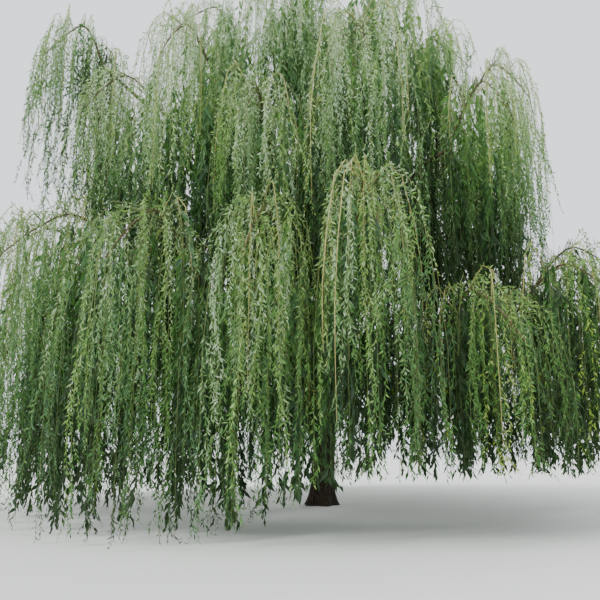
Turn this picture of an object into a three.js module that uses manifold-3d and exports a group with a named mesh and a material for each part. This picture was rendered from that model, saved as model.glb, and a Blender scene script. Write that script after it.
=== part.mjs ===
// Weeping willow: a trunk, its boughs, and the masses of foliage that hang from them.
// Millimetres and degrees, +Z up. The origin is the middle of the flat cut under the trunk, at ground
// level.
// A bearing is measured from above, anticlockwise from +X, so 270 faces -Y, the front.
import * as THREE from "three";
import { mergeVertices } from "three/addons/utils/BufferGeometryUtils.js";
import Module from "manifold-3d";

const wasm = await Module();
wasm.setup();

// Whole tree
const crownHeight = 15300;
const touchGap = 0.3; // between two pieces that touch
const clearance = 70; // between foliage and the edge of its space, or a limb
const sliver = 1; // edges and faces of a mass thinner than this are closed up

// Trunk
const trunkHeight = 2700;
const trunkRadius = 315;
const trunkTopRadius = 285;
const flareRadius = 130; // how far the root flare stands out at the ground
const flareHeight = 330;
const flareLobes = 5;
const trunkLean = 0.055; // sideways for each unit of height, towards +X
const trunkSides = 18;
const trunkSteps = 7;

// Foliage hem: low at the left and front, raised on the side that faces liftBearing
const lowHem = 120;
const highHem = 1150;
const liftBearing = 350;
const stretchBearing = 195; // the side where the crown reaches furthest out

// Limbs that rise from the fork. out and up place the middle of the sweep.
const limbs = [
  { name: "limb_right", bearing: 352, out: 3900, up: 5600, reach: 3500, top: 11500, radius: 172 },
  { name: "limb_back", bearing: 72, out: 1900, up: 5600, reach: 2300, top: 11700, radius: 158 },
  { name: "limb_back_left", bearing: 145, out: 2000, up: 5400, reach: 2200, top: 11500, radius: 150 },
  { name: "limb_left", bearing: 203, out: 2200, up: 5300, reach: 2400, top: 11600, radius: 168 },
  { name: "limb_front_left", bearing: 254, out: 1800, up: 5800, reach: 2200, top: 11700, radius: 148 },
  { name: "limb_front", bearing: 303, out: 1900, up: 5700, reach: 2200, top: 11800, radius: 155 },
  { name: "limb_leader", bearing: 100, out: 250, up: 7500, reach: 350, top: 13000, radius: 150 },
];
const limbTipRadius = 50;
const boughTipRadius = 42;
const limbSides = 5;
const limbSteps = 5;

// Storeys of foliage, from the skirt up. Each crest is one bough with one mass on its tip, given as its
// bearing and its lift above the storey's own height: tip is where the bough ends, apex where the mass
// arches over, edge how far out it hangs.
const storeys = [
  {
    name: "skirt",
    crests: [
      [30, 300], [76, -300], [114, 200], [152, 0], [190, 1300], [219, 600],
      [243, 0], [260, -100], [275, 0], [293, -1900], [316, -1000], [348, 400],
    ],
    fromLimb: 0.17,
    tip: { out: 5500, up: 5050 },
    apex: { out: 7150, up: 6300 },
    stretch: 400,
    edge: { inner: 5300, outer: 8900, sag: 1700 },
    boughRadius: 92,
    twigs: 7,
    ragged: 600,
  },
  {
    name: "shoulder",
    crests: [
      [30, 600], [100, -200], [170, -200], [215, 0], [238, 400],
      [255, -1500], [278, 300], [318, -200], [345, 1600],
    ],
    fromLimb: 0.45,
    tip: { out: 3900, up: 9000 },
    apex: { out: 5250, up: 10600 },
    stretch: 1000,
    edge: { inner: 3600, outer: 6500, sag: 1600 },
    boughRadius: 78,
    twigs: 7,
    ragged: 800,
  },
  {
    name: "upper",
    crests: [[352, 0], [72, 0], [145, 0], [203, 500], [254, 300], [303, 300]],
    apex: { out: 3300, up: 13600 },
    stretch: 0,
    edge: { inner: 1900, outer: 4900, sag: 1400 },
    twigs: 7,
    ragged: 700,
  },
  {
    name: "summit",
    crests: [[100, 0]],
    apex: { out: 500, up: crownHeight },
    stretch: 0,
    edge: { inner: -1500, outer: 2000, sag: 1500 },
    twigs: 9,
    ragged: 500,
  },
];
// Heights that part one storey from the next: low near the trunk, high outside, and raised by tilt on
// the side that faces tiltBearing
const partings = [
  { near: 4400, far: 6200, low: 4300, high: 6800, tilt: 1300, tiltBearing: 195 },
  { near: 2600, far: 4800, low: 7200, high: 12000, tilt: 1000, tiltBearing: 345 },
  { near: 900, far: 2400, low: 10600, high: 15200, tilt: 0, tiltBearing: 0 },
];
// One thin bough that stands out of the crown high on the left, with sparse foliage
const strayBough = {
  bearing: 200,
  fromLimb: 0.5,
  tip: { out: 6000, up: 11500 },
  apex: { out: 7050, up: 12850 },
  stretch: 0,
  edge: { inner: 5600, outer: 8300, sag: 1500 },
  boughRadius: 85,
  twigs: 8,
  ragged: 1200,
  hem: 7400,
};

// Twigs and the sprays of leaves on them
const stemRadii = [46, 46, 44, 42, 38, 32];
const twigRadii = [20, 20, 19, 14];
const sprayLength = 1850;
const sprayWidth = 500;
const sprayThickness = 70;
const spraySpread = 20; // degrees off the twig
const sprayWidest = 0.45; // share of its length
const spraySpacing = 1950;
const spraySunk = 5; // how far a root goes past the middle of its twig
const goldenAngle = 137.508;

const barkMaterial = new THREE.MeshStandardMaterial({ color: 0x4b4238, roughness: 0.95, metalness: 0 });
const boughMaterial = new THREE.MeshStandardMaterial({ color: 0x6b5f3c, roughness: 0.85, metalness: 0 });
const foliageMaterial = new THREE.MeshStandardMaterial({ color: 0x5f8a3e, roughness: 0.6, metalness: 0 });

const radians = THREE.MathUtils.degToRad;
const smooth = THREE.MathUtils.smoothstep;
const up = new THREE.Vector3(0, 0, 1);

// A repeatable run of numbers from 0 to 1
function seeded(seed) {
  let state = 7919 * seed + 104711;
  return () => {
    state = (1664525 * state + 1013904223) % 4294967296;
    return state / 4294967296;
  };
}

function place(bearing, out, height) {
  return new THREE.Vector3(out * Math.cos(radians(bearing)), out * Math.sin(radians(bearing)), height);
}

// A closed mesh as a solid that can be joined and cut
function solidOf(geometry) {
  const bare = geometry.clone();
  bare.deleteAttribute("normal");
  bare.deleteAttribute("uv");
  const merged = mergeVertices(bare, 1e-3);
  const mesh = new wasm.Mesh({
    numProp: 3,
    vertProperties: merged.attributes.position.array,
    triVerts: new Uint32Array(merged.index.array),
  });
  return new wasm.Manifold(mesh);
}

function meshOf(name, solid, material) {
  const { vertProperties, triVerts } = solid.getMesh();
  const geometry = new THREE.BufferGeometry();
  geometry.setAttribute("position", new THREE.BufferAttribute(vertProperties, 3));
  geometry.setIndex(new THREE.BufferAttribute(triVerts, 1));
  geometry.computeVertexNormals();
  const mesh = new THREE.Mesh(geometry, material);
  mesh.name = name;
  return mesh;
}

// A tapering tube: a cylinder whose rings are moved onto the points of a path
function taperedTube(points, radii, sides) {
  const steps = points.length - 1;
  const geometry = new THREE.CylinderGeometry(1, 1, 1, sides, steps);
  const frames = tubeFrames(points);
  const position = geometry.attributes.position;
  for (let i = 0; i < position.count; i++) {
    const ring = Math.round((position.getY(i) + 0.5) * steps);
    const moved = points[ring]
      .clone()
      .addScaledVector(frames[ring].across, position.getX(i) * radii[ring])
      .addScaledVector(frames[ring].side, position.getZ(i) * radii[ring]);
    position.setXYZ(i, moved.x, moved.y, moved.z);
  }
  return geometry;
}

// A path of straight pieces through the points, so that what roots on it sits inside the tube around it
function straightPath(points) {
  const path = new THREE.CurvePath();
  for (let i = 1; i < points.length; i++) path.add(new THREE.LineCurve3(points[i - 1], points[i]));
  return path;
}

// The largest of a solid's separate bodies
function mainBody(solid) {
  return solid.decompose().reduce((best, piece) => (piece.volume() > best.volume() ? piece : best));
}

// For each point, two directions square to the path that don't twist along it
function tubeFrames(points) {
  let across = new THREE.Vector3(1, 0, 0);
  return points.map((point, i) => {
    const before = points[Math.max(i - 1, 0)];
    const after = points[Math.min(i + 1, points.length - 1)];
    const along = after.clone().sub(before).normalize();
    if (i === 0 && Math.abs(along.x) > 0.8) across = new THREE.Vector3(0, 1, 0);
    across = across.clone().addScaledVector(along, -across.dot(along)).normalize();
    return { across, side: across.clone().cross(along), along };
  });
}

// The trunk's radius at a height, grown by extra, towards the angle turn in radians
function trunkRadiusAt(height, turn, extra) {
  const taper = THREE.MathUtils.lerp(trunkRadius, trunkTopRadius, height / trunkHeight);
  const flare = flareRadius * Math.exp(-height / flareHeight);
  return taper + flare * (1 + 0.6 * Math.cos(flareLobes * turn)) + extra;
}

function trunkGeometry(extra = 0) {
  const geometry = new THREE.CylinderGeometry(1, 1, 1, trunkSides, trunkSteps);
  const position = geometry.attributes.position;
  for (let i = 0; i < position.count; i++) {
    const share = position.getY(i) + 0.5;
    const height = trunkHeight * share ** 1.6; // rings closer together in the flare
    const turn = Math.atan2(position.getX(i), position.getZ(i));
    const onAxis = Math.hypot(position.getX(i), position.getZ(i)) < 0.5;
    const radius = onAxis ? 0 : trunkRadiusAt(height, turn, extra);
    const x = trunkLean * height + radius * Math.cos(turn);
    position.setXYZ(i, x, radius * Math.sin(turn), height + (share > 0.99 ? extra : 0));
  }
  return geometry;
}

// The points of a limb that bends from its start to its tip, with small crooks on the way
function limbPoints(start, bends, tip, seed) {
  const random = seeded(seed);
  const curve = new THREE.CubicBezierCurve3(start, bends[0], bends[1], tip);
  const crook = 0.028 * start.distanceTo(tip);
  const turns = [2 + random(), 2.5 + random()].map((n) => n * Math.PI);
  const lean = random() * Math.PI;
  return curve.getPoints(limbSteps).map((point, i) => {
    const t = i / limbSteps;
    const size = crook * Math.sin(Math.PI * t);
    const sideways = size * Math.sin(turns[0] * t);
    point.x += sideways * Math.cos(lean);
    point.y += sideways * Math.sin(lean);
    point.z += 0.6 * size * Math.sin(turns[1] * t);
    return point;
  });
}

function limbSolid(limb, extra = 0) {
  const radii = limb.points.map((_, i) => limbRadiusAt(limb, i / limbSteps) + extra);
  return solidOf(taperedTube(limb.points, radii, limbSides));
}

function limbRadiusAt(limb, share) {
  return THREE.MathUtils.lerp(limb.radius, limb.tipRadius, share ** 0.8);
}

// The limbs from the fork
function growLimbs() {
  const foot = new THREE.Vector3(trunkLean * trunkHeight, 0, trunkHeight - 350);
  return limbs.map((limb, i) => {
    const start = foot.clone().add(place(limb.bearing, 90, 0));
    const tip = place(limb.bearing, limb.reach, limb.top);
    const first = place(limb.bearing, 0.45 * limb.out, 0.5 * (start.z + limb.up));
    const second = place(limb.bearing, limb.out, limb.up + 0.28 * (limb.top - limb.up));
    const points = limbPoints(start, [first, second], tip, 11 + i);
    return { name: limb.name, radius: limb.radius, tipRadius: limbTipRadius, points };
  });
}

// The limb whose bearing is nearest
function nearestLimb(bearing) {
  const apart = (limb) => 1 - Math.cos(radians(limb.bearing - bearing));
  const rising = limbs.slice(0, -1);
  return limbs.indexOf(rising.reduce((best, limb) => (apart(limb) < apart(best) ? limb : best)));
}

// A bough that leaves a limb part of the way up and ends where its mass begins
function growBough(name, grown, row, [bearing, lift], seed) {
  const random = seeded(seed);
  const parent = grown[nearestLimb(bearing)];
  const start = straightPath(parent.points).getPoint(row.fromLimb * (0.85 + 0.3 * random()));
  const tipOut = row.tip.out * (0.96 + 0.08 * random());
  const tip = place(bearing, tipOut, row.tip.up * (0.96 + 0.08 * random()) + lift);
  const first = start.clone().lerp(tip, 0.3).addScaledVector(up, 0.1 * start.distanceTo(tip));
  const second = start.clone().lerp(tip, 0.72).addScaledVector(up, 0.07 * start.distanceTo(tip));
  const points = limbPoints(start, [first, second], tip, seed + 1);
  return { name, radius: row.boughRadius, tipRadius: boughTipRadius, points };
}

function hemAt(bearing) {
  const lift = smooth(Math.cos(radians(bearing - liftBearing)), -0.15, 0.25);
  return THREE.MathUtils.lerp(lowHem, highHem, lift);
}

// The height foliage may hang down to at a place
function hemUnder(mass, place) {
  if (mass.row.hem) return mass.row.hem;
  return mass.storey === 0 ? hemAt(mass.bearing) : partingAt(mass.storey - 1, place);
}

function partingAt(level, place) {
  const { near, far, low, high, tilt, tiltBearing } = partings[level];
  const facing = Math.max(0, Math.cos(Math.atan2(place.y, place.x) - radians(tiltBearing)));
  return THREE.MathUtils.lerp(low, high + tilt * facing ** 2, smooth(Math.hypot(place.x, place.y), near, far));
}

// Everything that shapes one mass: where its bough ends, its dome and the ground it covers
function massPlan(name, row, storey, [bearing, lift], bough, seed) {
  const random = seeded(seed);
  const vary = (size) => 1 + size * (2 * random() - 1);
  const stretch = row.stretch * Math.max(0, Math.cos(radians(bearing - stretchBearing)));
  const apex = place(bearing, row.apex.out * vary(0.03) + stretch, row.apex.up * vary(0.03) + lift);
  const outer = row.edge.outer + stretch;
  return { name, row, storey, bearing, bough, apex, outer, seed, firstTurn: 360 * random(), sides: [0, 0] };
}

function flatDistance(a, b) {
  return Math.hypot(a.x - b.x, a.y - b.y);
}

// Half widths to the neighbours on either side, along the storey
function measureSides(masses) {
  for (const mass of masses) {
    const mates = masses.filter((other) => other !== mass && other.storey === mass.storey);
    const along = place(mass.bearing + 90, 1, 0);
    mass.sides = [-1, 1].map((side) => {
      const gaps = mates
        .filter((other) => side * other.apex.clone().sub(mass.apex).dot(along) > 0)
        .map((other) => 0.5 * flatDistance(other.apex, mass.apex));
      return Math.min(2600, ...gaps);
    });
  }
}

// True where a point lies in the mass's own space, with room to spare
function inSpace(mass, masses, point, spare) {
  const level = mass.storey;
  if (level > 0 && point.z < partingAt(level - 1, point) + spare) return false;
  if (level < 3 && !mass.row.hem && point.z > partingAt(level, point) - spare) return false;
  return masses.every((other) => {
    if (other === mass || other.storey !== level) return true;
    const apart = flatDistance(other.apex, mass.apex);
    const towards = (point.x - mass.apex.x) * (other.apex.x - mass.apex.x)
      + (point.y - mass.apex.y) * (other.apex.y - mass.apex.y);
    return towards / apart < apart / 2 - spare;
  });
}

// True where a piece keeps clear of the trunk and every limb
function clearOfWood(wood, piece) {
  return wood.every((limb) => piece.intersect(limb).isEmpty());
}

// The points of a twig: it leaves the stem, arches over and hangs
function twigPoints(root, hang, top, bottom, arch) {
  const over = root.clone().lerp(hang, 0.55).setZ(Math.max(root.z, top) + arch);
  const shoulder = hang.clone().setZ(top - 0.12 * (top - bottom));
  const end = hang.clone().setZ(bottom);
  return [root, over, shoulder, end];
}

// A spray hangs from its root, off to the side that turn points to
function sprayAxes(turn) {
  const spread = radians(spraySpread);
  const facing = new THREE.Vector3(Math.cos(turn), Math.sin(turn), 0);
  const down = up.clone().multiplyScalar(-Math.cos(spread)).addScaledVector(facing, Math.sin(spread));
  return { down, side: up.clone().cross(facing) };
}

// One spray of leaves as a slim flat diamond, from a distance along it to its tip
function sprayGeometry(root, turn, length, width, from) {
  const { down, side } = sprayAxes(turn);
  const flat = down.clone().cross(side);
  const geometry = new THREE.SphereGeometry(1, 3, 2);
  const position = geometry.attributes.position;
  for (let i = 0; i < position.count; i++) {
    const y = position.getY(i);
    const along = y > 0.5 ? length : y < -0.5 ? from : sprayWidest * length;
    const moved = root.clone()
      .addScaledVector(down, along)
      .addScaledVector(side, 0.58 * width * position.getZ(i))
      .addScaledVector(flat, 0.67 * sprayThickness * position.getX(i));
    position.setXYZ(i, moved.x, moved.y, moved.z);
  }
  return geometry;
}

// The stem carries on from the bough's tip, arches over the apex and ends near the edge
function stemPoints(mass) {
  const [before, tip] = mass.bough.points.slice(-2);
  const heading = tip.clone().sub(before).normalize();
  const start = tip.clone().addScaledVector(heading, touchGap);
  const turn = tip.clone().addScaledVector(heading, 300);
  const end = place(mass.bearing, mass.outer - 350, mass.apex.z - 0.75 * mass.row.edge.sag);
  const bend = new THREE.CatmullRomCurve3([turn, mass.apex, end], false, "centripetal");
  return [start, ...bend.getPoints(4)];
}

// Twig number k of a mass. The first hangs from the stem's end, the others spread over the dome.
function twigPlan(mass, stem, k) {
  const random = seeded(100 * mass.seed + k);
  const { row } = mass;
  const ring = k === 0 ? 0.9 : ((k + 0.5) / row.twigs) ** 0.42;
  const turn = k === 0 ? 0 : radians(mass.firstTurn + k * goldenAngle);
  const across = ring * Math.sin(turn);
  const forth = ring * Math.cos(turn);
  const apexOut = Math.hypot(mass.apex.x, mass.apex.y);
  const depth = forth > 0 ? mass.outer - apexOut : apexOut - row.edge.inner;
  const width = mass.sides[across > 0 ? 1 : 0] - 3 * clearance;
  const hang = mass.apex.clone()
    .add(place(mass.bearing, forth * depth, 0))
    .add(place(mass.bearing + 90, across * width, 0));
  const top = mass.apex.z - row.edge.sag * ring ** 2 - 150 * random();
  const last = sprayLength * (0.8 + 0.4 * random());
  const bottom = hemUnder(mass, hang) + clearance + 0.95 * last + row.ragged * random() ** 2;
  const arch = 120 + 200 * random();
  const share = k === 0 ? 0.97 : THREE.MathUtils.clamp(0.45 + 0.4 * forth, 0.15, 0.92);
  const points = twigPoints(stem.getPoint(share), hang, top, bottom, arch);
  return { points, last, random, drop: top - bottom };
}

// Twigs branch from one stem and hang; sprays stand out from them all round
function massSolid(mass, masses, wood) {
  const stem = stemPoints(mass);
  let solid = solidOf(taperedTube(stem, stemRadii, 4));
  for (let k = 0; k < mass.row.twigs; k++) {
    const { points, last, random, drop } = twigPlan(mass, straightPath(stem), k);
    if (drop < 300 || !points.every((point) => inSpace(mass, masses, point, clearance))) continue;
    const twig = solidOf(taperedTube(points, twigRadii, 3));
    const hanging = solidOf(taperedTube(points.slice(1), twigRadii.slice(1), 3));
    if (!clearOfWood(wood, twig) || !solid.intersect(hanging).isEmpty()) continue;
    solid = solid.add(twig);
    solid = addSprays(solid, mass, masses, wood, straightPath(points), last, random);
  }
  return mainBody(solid.simplify(sliver));
}

// Sprays at even steps along a twig, each turned on from the one before, the last at the twig's end
function addSprays(foliage, mass, masses, wood, twig, last, random) {
  let solid = foliage;
  const length = twig.getLength();
  const count = Math.max(1, Math.round((length - 0.5 * sprayLength) / spraySpacing));
  for (let i = 0; i <= count; i++) {
    const atEnd = i === count;
    const root = twig.getPoint(atEnd ? 0.985 : (i + 0.35 + 0.5 * random()) / (count + 0.75));
    const reach = atEnd ? last : sprayLength * (0.8 + 0.4 * random());
    const firstTurn = 2 * Math.PI * random();
    const turns = [0, 1, 2, 3, 4].map((n) => firstTurn + radians(n * goldenAngle));
    const turn = turns.find((angle) => sprayFits(solid, mass, masses, wood, root, angle, reach));
    if (turn === undefined) continue;
    solid = solid.add(solidOf(sprayGeometry(root, turn, reach, sprayWidth, -spraySunk)));
  }
  return solid;
}

// True where a spray stays in its space and touches no limb and no other spray
function sprayFits(solid, mass, masses, wood, root, turn, length) {
  const { down, side } = sprayAxes(turn);
  const tip = root.clone().addScaledVector(down, length);
  const middle = root.clone().addScaledVector(down, sprayWidest * length);
  const edges = [-0.5, 0.5].map((half) => middle.clone().addScaledVector(side, half * sprayWidth));
  if (tip.z < lowHem / 2) return false;
  if (![tip, ...edges].every((corner) => inSpace(mass, masses, corner, clearance / 2))) return false;
  const free = solidOf(sprayGeometry(root, turn, length, sprayWidth, 0.05 * length));
  return solid.intersect(free).isEmpty() && clearOfWood(wood, free);
}

function buildTree() {
  const tree = new THREE.Group();
  const grown = growLimbs();
  const masses = [];
  const boughs = [];
  let seed = 40;
  storeys.forEach((row, storey) => {
    row.crests.forEach((crest, i) => {
      const number = String(i + 1).padStart(2, "0");
      let bough = grown[storey === 3 ? limbs.length - 1 : i];
      if (row.tip) {
        bough = growBough(`bough_${row.name}_${number}`, grown, row, crest, seed);
        boughs.push(bough);
      }
      masses.push(massPlan(`foliage_${row.name}_${number}`, row, storey, crest, bough, seed + 3));
      seed += 7;
    });
  });
  const strayCrest = [strayBough.bearing, 0];
  const stray = growBough("bough_stray", grown, strayBough, strayCrest, seed);
  boughs.push(stray);
  masses.push(massPlan("foliage_stray", strayBough, 1, strayCrest, stray, seed + 3));
  measureSides(masses);

  tree.add(meshOf("trunk", solidOf(trunkGeometry()), barkMaterial));
  const cutters = [solidOf(trunkGeometry(touchGap))];
  const wood = [...grown, ...boughs];
  for (const limb of wood) {
    let solid = limbSolid(limb);
    for (const cutter of cutters) solid = solid.subtract(cutter);
    tree.add(meshOf(limb.name, mainBody(solid), boughMaterial));
    cutters.push(limbSolid(limb, touchGap));
  }
  const grownWood = [solidOf(trunkGeometry(clearance)), ...wood.map((limb) => limbSolid(limb, clearance))];
  for (const mass of masses) {
    tree.add(meshOf(mass.name, massSolid(mass, masses, grownWood), foliageMaterial));
  }
  return tree;
}

export default buildTree();
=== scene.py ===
# Weeping willow in summer leaf. Metres, +Z up; the trunk's foot is at the origin.
# A bearing is measured from above, anticlockwise from +X, so 270 is the front.
import math
import bpy
import numpy as np
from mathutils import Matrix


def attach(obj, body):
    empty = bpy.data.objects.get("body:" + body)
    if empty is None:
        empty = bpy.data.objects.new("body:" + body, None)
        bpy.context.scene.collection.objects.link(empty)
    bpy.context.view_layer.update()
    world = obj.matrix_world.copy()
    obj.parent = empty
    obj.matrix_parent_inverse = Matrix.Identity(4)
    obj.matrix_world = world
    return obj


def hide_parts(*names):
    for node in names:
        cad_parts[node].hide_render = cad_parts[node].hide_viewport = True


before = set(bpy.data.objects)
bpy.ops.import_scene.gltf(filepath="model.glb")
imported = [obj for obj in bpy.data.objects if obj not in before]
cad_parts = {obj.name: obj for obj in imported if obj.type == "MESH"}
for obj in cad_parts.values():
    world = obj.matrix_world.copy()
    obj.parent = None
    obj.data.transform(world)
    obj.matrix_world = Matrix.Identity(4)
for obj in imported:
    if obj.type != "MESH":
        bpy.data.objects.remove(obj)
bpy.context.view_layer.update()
print("frame:", len(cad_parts), "nodes")

goldenAngle = 137.508
touchGap = 0.0003   # between a stem and the tip that carries it
clearance = 0.07    # between the source's own twigs and the edge of their mass's space


# The same growth rule as the solids

# limbs from the fork: out and up place the middle of the sweep
limbRows = [
    dict(name="limb_right", bearing=352, out=3.9, up=5.6, reach=3.5, top=11.5, radius=0.172),
    dict(name="limb_back", bearing=72, out=1.9, up=5.6, reach=2.3, top=11.7, radius=0.158),
    dict(name="limb_back_left", bearing=145, out=2.0, up=5.4, reach=2.2, top=11.5, radius=0.150),
    dict(name="limb_left", bearing=203, out=2.2, up=5.3, reach=2.4, top=11.6, radius=0.168),
    dict(name="limb_front_left", bearing=254, out=1.8, up=5.8, reach=2.2, top=11.7, radius=0.148),
    dict(name="limb_front", bearing=303, out=1.9, up=5.7, reach=2.2, top=11.8, radius=0.155),
    dict(name="limb_leader", bearing=100, out=0.25, up=7.5, reach=0.35, top=13.0, radius=0.150),
]
trunk = dict(height=2.7, radius=0.315, topRadius=0.285, flareRadius=0.13, flareHeight=0.33,
             flareLobes=5, lean=0.055)
limbTipRadius = 0.050
boughTipRadius = 0.042
hem = dict(low=0.12, high=1.15, liftBearing=350)
stretchBearing = 195

# storeys of foliage from the skirt up: crests are (bearing, lift above the storey's own height);
# sprigs and strands are the finer growth of each mass
storeys = [
    dict(name="skirt", crests=[(30, 0.3), (76, -0.3), (114, 0.2), (152, 0), (190, 1.3), (219, 0.6),
                               (243, 0), (260, -0.1), (275, 0), (293, -1.9), (316, -1), (348, 0.4)],
         fromLimb=0.17, tipOut=5.5, tipUp=5.05, apexOut=7.15, apexUp=6.3, stretch=0.4,
         inner=5.3, outer=8.9, sag=1.7, boughRadius=0.092, twigs=7, ragged=0.6,
         sprigs=36, strands=345),
    dict(name="shoulder", crests=[(30, 0.6), (100, -0.2), (170, -0.2), (215, 0), (238, 0.4), (255, -1.5),
                                  (278, 0.3), (318, -0.2), (345, 1.6)],
         fromLimb=0.45, tipOut=3.9, tipUp=9.0, apexOut=5.25, apexUp=10.6, stretch=1.0,
         inner=3.6, outer=6.5, sag=1.6, boughRadius=0.078, twigs=7, ragged=0.8,
         sprigs=36, strands=345),
    dict(name="upper", crests=[(352, 0), (72, 0), (145, 0), (203, 0.5), (254, 0.3), (303, 0.3)],
         apexOut=3.3, apexUp=13.6, stretch=0,
         inner=1.9, outer=4.9, sag=1.4, twigs=7, ragged=0.7, sprigs=34, strands=350),
    dict(name="summit", crests=[(100, 0)],
         apexOut=0.5, apexUp=15.3, stretch=0,
         inner=-1.5, outer=2.0, sag=1.5, twigs=9, ragged=0.5, sprigs=30, strands=320),
]
partings = [
    dict(near=4.4, far=6.2, low=4.3, high=6.8, tilt=1.3, tiltBearing=195),
    dict(near=2.6, far=4.8, low=7.2, high=12.0, tilt=1.0, tiltBearing=345),
    dict(near=0.9, far=2.4, low=10.6, high=15.2, tilt=0, tiltBearing=0),
]
strayBough = dict(name="stray", bearing=200, fromLimb=0.5, tipOut=6.0, tipUp=11.5, apexOut=7.05,
                  apexUp=12.85, stretch=0, inner=5.6, outer=8.3, sag=1.5,
                  boughRadius=0.085, twigs=8, ragged=1.2, hem=7.4, sprigs=36, strands=370)
spray = dict(length=1.85)


def seeded(seed):
    state = [7919 * seed + 104711]

    def draw():
        state[0] = (1664525 * state[0] + 1013904223) % 4294967296
        return state[0] / 4294967296
    return draw


def place(bearing, out, height=0.0):
    turn = math.radians(bearing)
    return np.array([out * math.cos(turn), out * math.sin(turn), height])


def smooth(value, low, high):
    t = np.clip((value - low) / (high - low), 0, 1)
    return t * t * (3 - 2 * t)


def alongPath(points, share):
    # the point at a share of a polyline's length
    points = np.asarray(points)
    steps = np.linalg.norm(np.diff(points, axis=0), axis=1)
    marks = np.concatenate([[0], np.cumsum(steps)])
    at = np.asarray(share) * marks[-1]
    return np.stack([np.interp(at, marks, points[:, i]) for i in range(3)], axis=-1)


def bendThrough(points, count):
    # centripetal curve through the points, count steps in all
    pts = [np.asarray(p, float) for p in points]
    ends = [2 * pts[0] - pts[1]] + pts + [2 * pts[-1] - pts[-2]]
    last = len(pts) - 1
    result = []
    for n in range(count + 1):
        at = last * n / count
        i = min(int(at), last - 1)
        w = at - i
        p0, p1, p2, p3 = ends[i:i + 4]
        d0, d1, d2 = [np.linalg.norm(b - a) ** 0.5 for a, b in ((p0, p1), (p1, p2), (p2, p3))]
        t1 = ((p1 - p0) / d0 - (p2 - p0) / (d0 + d1) + (p2 - p1) / d1) * d1
        t2 = ((p2 - p1) / d1 - (p3 - p1) / (d1 + d2) + (p3 - p2) / d2) * d1
        result.append(p1 + t1 * w + (-3 * p1 + 3 * p2 - 2 * t1 - t2) * w ** 2
                      + (2 * p1 - 2 * p2 + t1 + t2) * w ** 3)
    return np.array(result)


def limbCurve(start, bends, tip, seed, count):
    random = seeded(seed)
    crook = 0.028 * np.linalg.norm(tip - start)
    turns = [(2 + random()) * math.pi, (2.5 + random()) * math.pi]
    lean = random() * math.pi
    t = np.linspace(0, 1, count + 1)[:, None]
    points = ((1 - t) ** 3 * start + 3 * (1 - t) ** 2 * t * bends[0]
              + 3 * (1 - t) * t ** 2 * bends[1] + t ** 3 * tip)
    size = crook * np.sin(math.pi * t[:, 0])
    sideways = size * np.sin(turns[0] * t[:, 0])
    points[:, 0] += sideways * math.cos(lean)
    points[:, 1] += sideways * math.sin(lean)
    points[:, 2] += 0.6 * size * np.sin(turns[1] * t[:, 0])
    return points


def growLimbs():
    foot = np.array([trunk["lean"] * trunk["height"], 0, trunk["height"] - 0.35])
    grown = []
    for i, row in enumerate(limbRows):
        start = foot + place(row["bearing"], 0.09)
        tip = place(row["bearing"], row["reach"], row["top"])
        first = place(row["bearing"], 0.45 * row["out"], 0.5 * (start[2] + row["up"]))
        second = place(row["bearing"], row["out"], row["up"] + 0.28 * (row["top"] - row["up"]))
        ends = (start, [first, second], tip, 11 + i)
        grown.append(dict(name=row["name"], radius=row["radius"], tipRadius=limbTipRadius,
                          points=limbCurve(*ends, 5), fine=limbCurve(*ends, 60)))
    return grown


def growBough(name, grown, row, bearing, lift, seed):
    random = seeded(seed)
    apart = [1 - math.cos(math.radians(limb["bearing"] - bearing)) for limb in limbRows[:-1]]
    parent = grown[apart.index(min(apart))]
    start = alongPath(parent["points"], row["fromLimb"] * (0.85 + 0.3 * random()))
    tipOut = row["tipOut"] * (0.96 + 0.08 * random())
    tip = place(bearing, tipOut, row["tipUp"] * (0.96 + 0.08 * random()) + lift)
    length = np.linalg.norm(tip - start)
    up = np.array([0, 0, 1.0])
    bends = [start + 0.3 * (tip - start) + 0.1 * length * up,
             start + 0.72 * (tip - start) + 0.07 * length * up]
    ends = (start, bends, tip, seed + 1)
    return dict(name=name, radius=row["boughRadius"], tipRadius=boughTipRadius,
                points=limbCurve(*ends, 5), fine=limbCurve(*ends, 40))


def hemAt(bearing):
    lift = smooth(np.cos(np.radians(bearing - hem["liftBearing"])), -0.15, 0.25)
    return hem["low"] + (hem["high"] - hem["low"]) * lift


def partingAt(level, points):
    # the height that parts a storey from the one above, raised towards one side
    row = partings[level]
    out = np.hypot(points[:, 0], points[:, 1])
    facing = np.cos(np.arctan2(points[:, 1], points[:, 0]) - math.radians(row["tiltBearing"]))
    high = row["high"] + row["tilt"] * np.maximum(0, facing) ** 2
    return row["low"] + (high - row["low"]) * smooth(out, row["near"], row["far"])


def massPlan(name, row, storey, bearing, lift, bough, seed):
    random = seeded(seed)
    stretch = row["stretch"] * max(0, math.cos(math.radians(bearing - stretchBearing)))
    out = row["apexOut"] * (1 + 0.03 * (2 * random() - 1)) + stretch
    height = row["apexUp"] * (1 + 0.03 * (2 * random() - 1)) + lift
    return dict(name=name, row=row, storey=storey, bearing=bearing, bough=bough, seed=seed,
                apex=place(bearing, out, height), outer=row["outer"] + stretch,
                firstTurn=360 * random())


def measureSides(masses):
    for mass in masses:
        along = place(mass["bearing"] + 90, 1)
        mates = [m for m in masses if m is not mass and m["storey"] == mass["storey"]]
        offsets = [m["apex"] - mass["apex"] for m in mates]
        halves = [[0.5 * np.linalg.norm(o[:2]) for o in offsets if side * (o @ along) > 0]
                  for side in (-1, 1)]
        mass["sides"] = [min([2.6] + near) for near in halves]
        mass["fineSides"] = [min([fine["sideMost"]] + near) for near in halves]
        mass["mates"] = mates


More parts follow.
